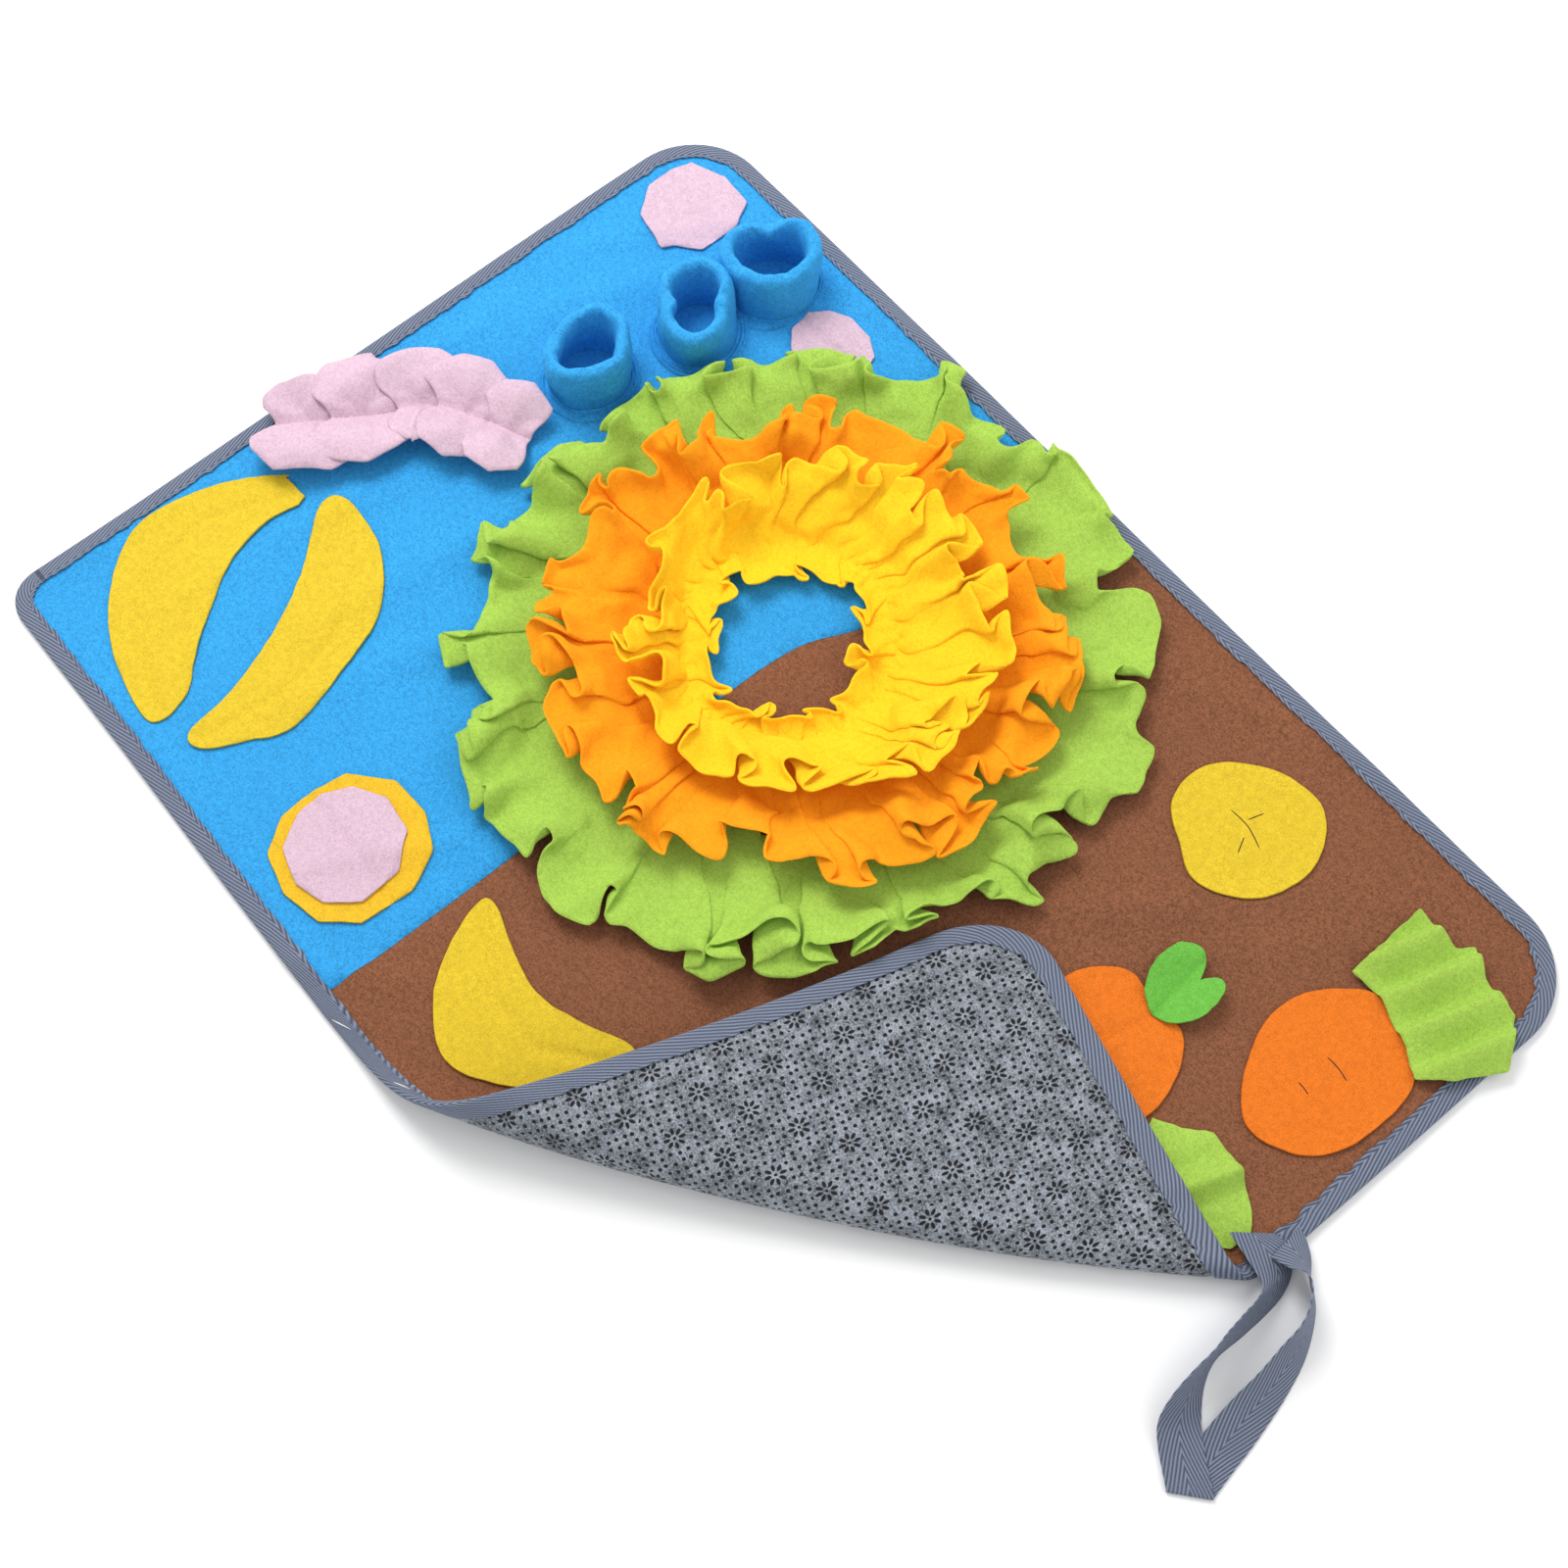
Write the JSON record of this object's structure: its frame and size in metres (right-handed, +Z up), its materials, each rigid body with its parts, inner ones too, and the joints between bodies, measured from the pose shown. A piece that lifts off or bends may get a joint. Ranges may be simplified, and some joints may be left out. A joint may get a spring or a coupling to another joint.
{
  "type": "snuffle mat",
  "caption": "Fleece snuffle mat with gathered rings, cuffs and flat shapes for hiding treats, one corner folded over, and a carrying strap.",
  "frame": {"origin": "middle of the flat mat's underside, on the floor", "axes": "+X along the long side, +Y along the short side, +Z up"},
  "size_m": [1.0827, 0.7, 0.055],
  "materials": {
    "grey_felt": "polyester felt, woolly and matt",
    "blue_fleece": "brushed fleece, matt with a soft pile",
    "brown_fleece": "brushed fleece, matt with a soft pile",
    "green_fleece": "brushed fleece, matt with a soft pile",
    "orange_fleece": "brushed fleece, matt with a soft pile",
    "yellow_fleece": "brushed fleece, matt with a soft pile",
    "pink_fleece": "brushed fleece, matt with a soft pile",
    "yellow_felt": "brushed felt, matt",
    "amber_felt": "brushed felt, matt",
    "orange_felt": "brushed felt, matt",
    "leaf_felt": "brushed felt, matt",
    "grey_tape": "herringbone cotton tape, matt"
  },
  "bodies": {
    "root": {"backing": "grey_felt", "top_blue": "blue_fleece", "top_brown": "brown_fleece", "binding": "grey_tape", "strap": "grey_tape", "ruffle_green": "green_fleece", "ruffle_orange": "orange_fleece", "ruffle_yellow": "yellow_fleece", "pocket_1": "blue_fleece", "pocket_2": "blue_fleece", "pocket_3": "blue_fleece", "petal_1": "pink_fleece", "petal_2": "pink_fleece", "petal_3": "pink_fleece", "petal_4": "pink_fleece", "petal_5": "pink_fleece", "banana_1": "yellow_felt", "banana_2": "yellow_felt", "banana_3": "yellow_felt", "lemon": "yellow_felt", "coin_yellow": "amber_felt", "coin_pink": "pink_fleece", "pink_disc_1": "pink_fleece", "pink_disc_2": "pink_fleece", "pumpkin": "orange_felt", "carrot": "orange_felt", "pumpkin_leaf": "leaf_felt", "carrot_top": "green_fleece", "turnip_leaf": "green_fleece"}
  },
  "joints": []
}
